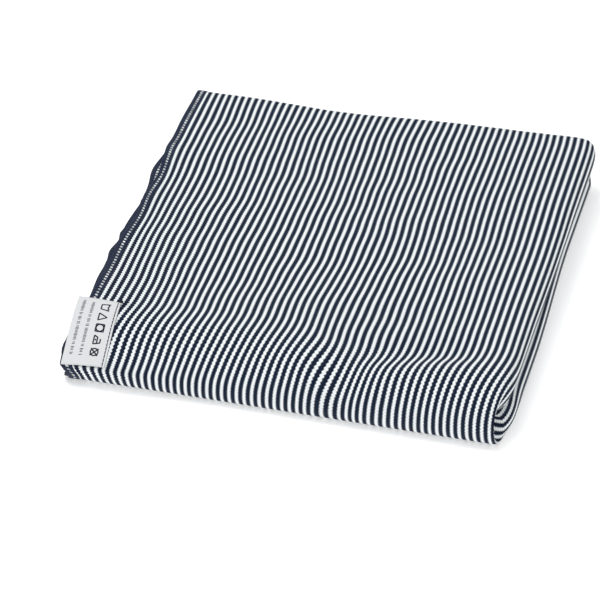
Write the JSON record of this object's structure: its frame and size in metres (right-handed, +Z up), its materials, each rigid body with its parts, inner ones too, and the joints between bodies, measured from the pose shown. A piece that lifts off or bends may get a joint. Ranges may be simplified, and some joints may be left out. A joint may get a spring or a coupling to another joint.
{
  "type": "baby wrap sling",
  "caption": "Long strip of striped stretch jersey for tying a baby to the body, folded to a flat rectangular pack, with overlocked edges and a sewn-on label.",
  "frame": {"origin": "middle of the folded pack's footprint, on the surface it lies on", "axes": "+Z up through the pack, +Y from the last fold at the front to the rear edge, +X from the overlocked edges to the lengthwise fold"},
  "size_m": [0.276, 0.2912, 0.0397],
  "materials": {
    "striped_jersey": "navy and white striped cotton jersey, matt, soft hand",
    "overlock_thread": "navy overlock stitches over the cut edge",
    "label_tape": null,
    "label_thread": "dark sewing thread"
  },
  "bodies": {
    "lower_half": {"cloth_lower_half": "striped_jersey", "overlock_edge_lower": "overlock_thread", "overlock_cloth_ends": "overlock_thread"},
    "upper_half": {"cloth_upper_half": "striped_jersey", "overlock_edge_upper": "overlock_thread", "label_seam": "label_thread"},
    "label": {"woven_label": "label_tape"}
  },
  "joints": [
    {"name": "front_fold", "type": "hinge", "parent": "lower_half", "child": "upper_half", "pos_m": [0, -0.14565, 0.0177], "axis": [0.9999, 0, 0.0167], "range_deg": [0, 180]},
    {"name": "label_flap", "type": "hinge", "parent": "upper_half", "child": "label", "pos_m": [-0.112, -0.12534, 0.02402], "axis": [0, 0.9471, 0.3211], "range_deg": [0, 120]}
  ]
}
